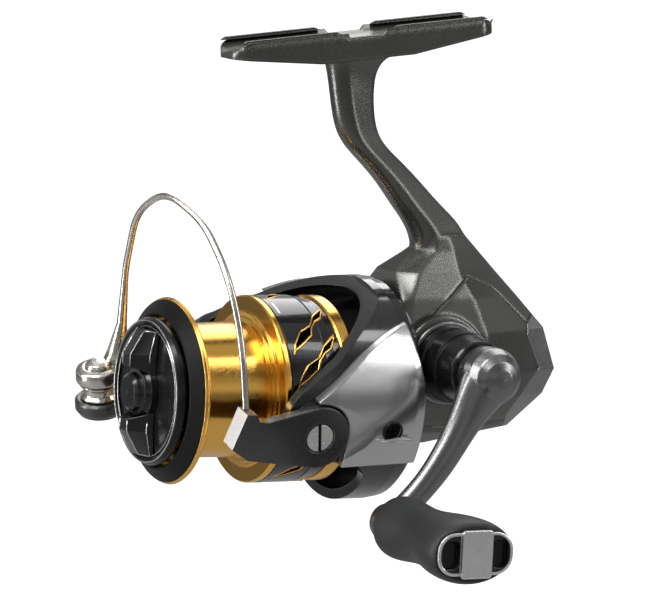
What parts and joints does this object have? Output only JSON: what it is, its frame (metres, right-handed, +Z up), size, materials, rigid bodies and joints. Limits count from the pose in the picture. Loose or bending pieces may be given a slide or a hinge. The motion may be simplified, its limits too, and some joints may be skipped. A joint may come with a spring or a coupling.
{
  "type": "spinning reel",
  "caption": "Small spinning reel: folding-knob crank, geared rotor with flip-over bail, travelling skirted spool with a front drag knob, and a foot that clamps under the rod.",
  "frame": {"origin": "middle of the foot's length, on the flat strip along the floor of its rod seat", "axes": "+Z up into the rod, -Y forward along the rod towards its tip, +X to the side that carries the crank"},
  "size_m": [0.1166, 0.113, 0.1176],
  "materials": {
    "body_metal": "dark titanium grey, satin metallic",
    "guard_metal": "bright chrome grey",
    "black_gloss": "glossy black",
    "black_matte": "matte black",
    "steel": "machined steel",
    "gear_brass": "cut brass",
    "rotor_gloss": "glossy dark grey",
    "cover_silver": "polished silver paint",
    "gold": "gold anodised, turned",
    "skirt_black": "glossy black",
    "drag_gloss": "glossy black",
    "drag_chrome": "chrome",
    "felt": "felt and steel drag washers",
    "arm_grey": "dark grey satin",
    "wire_steel": "polished nickel, warm",
    "crank_metal": "polished dark grey",
    "knob_rubber": "matte dark grey",
    "cap_silver": "brushed silver"
  },
  "bodies": {
    "body": {"body_frame": "body_metal", "side_cover": "body_metal", "rear_guard": "guard_metal", "boss_collar": "black_gloss", "screw_cap": "body_metal", "cover_screws": "steel", "drive_bearings": "steel", "pinion_front_bearing": "steel", "pinion_rear_bearing": "steel", "clutch_housing": "steel", "clutch_rollers": "steel", "clutch_screws": "steel", "friction_ring": "knob_rubber", "idle_axle": "steel", "guide_rod": "steel", "worm_bushes": "gear_brass"},
    "crank": {"drive_gear": "gear_brass", "crank_shank": "steel", "crank_collar": "black_gloss", "crank_arm": "crank_metal", "knob_spindle": "steel"},
    "knob": {"knob_bearings": "steel", "knob_grip": "knob_rubber", "knob_cap": "cap_silver"},
    "rotor": {"pinion_gear": "gear_brass", "clutch_sleeve": "steel", "rotor": "rotor_gloss", "near_arm_cover": "cover_silver", "far_arm_cover": "cover_silver", "arm_cover_screws": "black_matte", "rotor_nut": "steel", "nut_retainer": "steel", "retainer_screw": "steel", "bail_spring": "steel"},
    "idle": {"idle_gear": "black_matte"},
    "worm": {"worm_gear": "black_matte", "worm_shaft": "steel"},
    "shaft": {"main_shaft": "steel", "slider": "steel", "spool_support": "black_matte"},
    "spool": {"spool": "gold", "lip_ring": "black_matte", "spool_skirt": "skirt_black", "skirt_ring": "gold", "line_clip": "drag_chrome", "spool_bearings": "steel", "drag_washers": "felt", "drag_clip": "steel"},
    "drag": {"drag_knob": "drag_gloss", "drag_rim": "drag_chrome", "drag_bar": "drag_chrome", "drag_button": "black_gloss", "drag_nut": "steel"},
    "bail": {"bail_wire": "wire_steel", "bail_holder": "arm_grey", "roller_lever": "arm_grey", "pivot_screws": "steel", "roller_nut": "wire_steel", "roller_bearing": "steel"},
    "roller": {"line_roller": "wire_steel"}
  },
  "joints": [
    {"name": "crank_turn", "type": "hinge", "parent": "body", "child": "crank", "pos_m": [0, 0.01257, -0.07684], "axis": [1, 0, 0], "continuous": true},
    {"name": "knob_spin", "type": "hinge", "parent": "crank", "child": "knob", "pos_m": [0, -0.01655, -0.10752], "axis": [1, 0, 0], "continuous": true},
    {"name": "rotor_spin", "type": "hinge", "parent": "body", "child": "rotor", "pos_m": [0, 0.0118, -0.0844], "axis": [0, -0.9949, 0.1011], "continuous": true},
    {"name": "idle_spin", "type": "hinge", "parent": "body", "child": "idle", "pos_m": [0.0052, 0.01146, -0.08778], "axis": [0, -0.9949, 0.1011], "continuous": true},
    {"name": "worm_spin", "type": "hinge", "parent": "body", "child": "worm", "pos_m": [0, 0.01111, -0.09117], "axis": [0, -0.9949, 0.1011], "continuous": true},
    {"name": "spool_travel", "type": "slide", "parent": "body", "child": "shaft", "axis": [0, 0.9949, -0.1011], "range_m": [0, 0.013]},
    {"name": "spool_turn", "type": "hinge", "parent": "shaft", "child": "spool", "pos_m": [0, 0.0118, -0.0844], "axis": [0, -0.9949, 0.1011], "continuous": true},
    {"name": "drag_turn", "type": "hinge", "parent": "shaft", "child": "drag", "pos_m": [0, 0.0118, -0.0844], "axis": [0, -0.9949, 0.1011], "range_deg": [-180, 540]},
    {"name": "bail_flip", "type": "hinge", "parent": "rotor", "child": "bail", "pos_m": [0, -0.0278, -0.08038], "axis": [0.969, -0.025, -0.2457], "range_deg": [0, 100]},
    {"name": "roller_spin", "type": "hinge", "parent": "bail", "child": "roller", "pos_m": [-0.02723, -0.05827, -0.0756], "axis": [0.2407, -0.1284, 0.9621], "continuous": true}
  ],
  "couplings": [
    {"joint": "rotor_spin", "follows": "crank_turn", "ratio": 5.1111},
    {"joint": "idle_spin", "follows": "crank_turn", "ratio": -5.75},
    {"joint": "worm_spin", "follows": "crank_turn", "ratio": 4.6}
  ]
}
